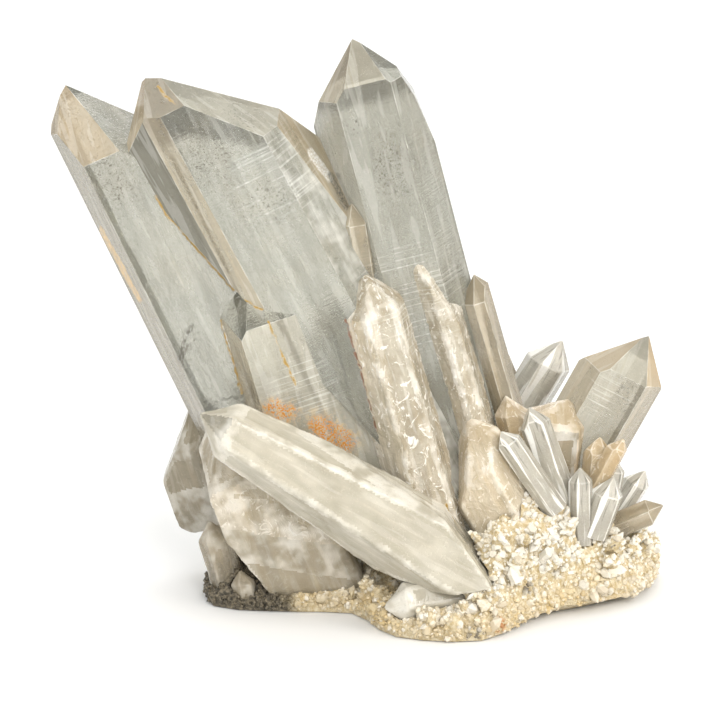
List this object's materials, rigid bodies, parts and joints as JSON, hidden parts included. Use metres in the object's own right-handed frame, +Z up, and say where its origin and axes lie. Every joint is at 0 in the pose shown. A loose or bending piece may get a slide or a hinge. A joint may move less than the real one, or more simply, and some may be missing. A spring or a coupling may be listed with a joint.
{
  "type": "quartz crystal cluster",
  "caption": "Standing cluster of clear and milky quartz crystals grown together on a sparkling crust, cut off flat to rest on a surface.",
  "frame": {"origin": "middle of the whole cluster in plan, on the flat cut that it rests on", "axes": "+Z up, the best face looks along -Y, and the tall crystals lean towards -X"},
  "size_m": [0.1237, 0.0682, 0.1139],
  "materials": {
    "clear_quartz": "clear to milky natural crystal faces",
    "druse": "rough sparkling crust of small crystals"
  },
  "bodies": {
    "root": {"crystals": "clear_quartz", "druse_base": "druse"}
  },
  "joints": []
}
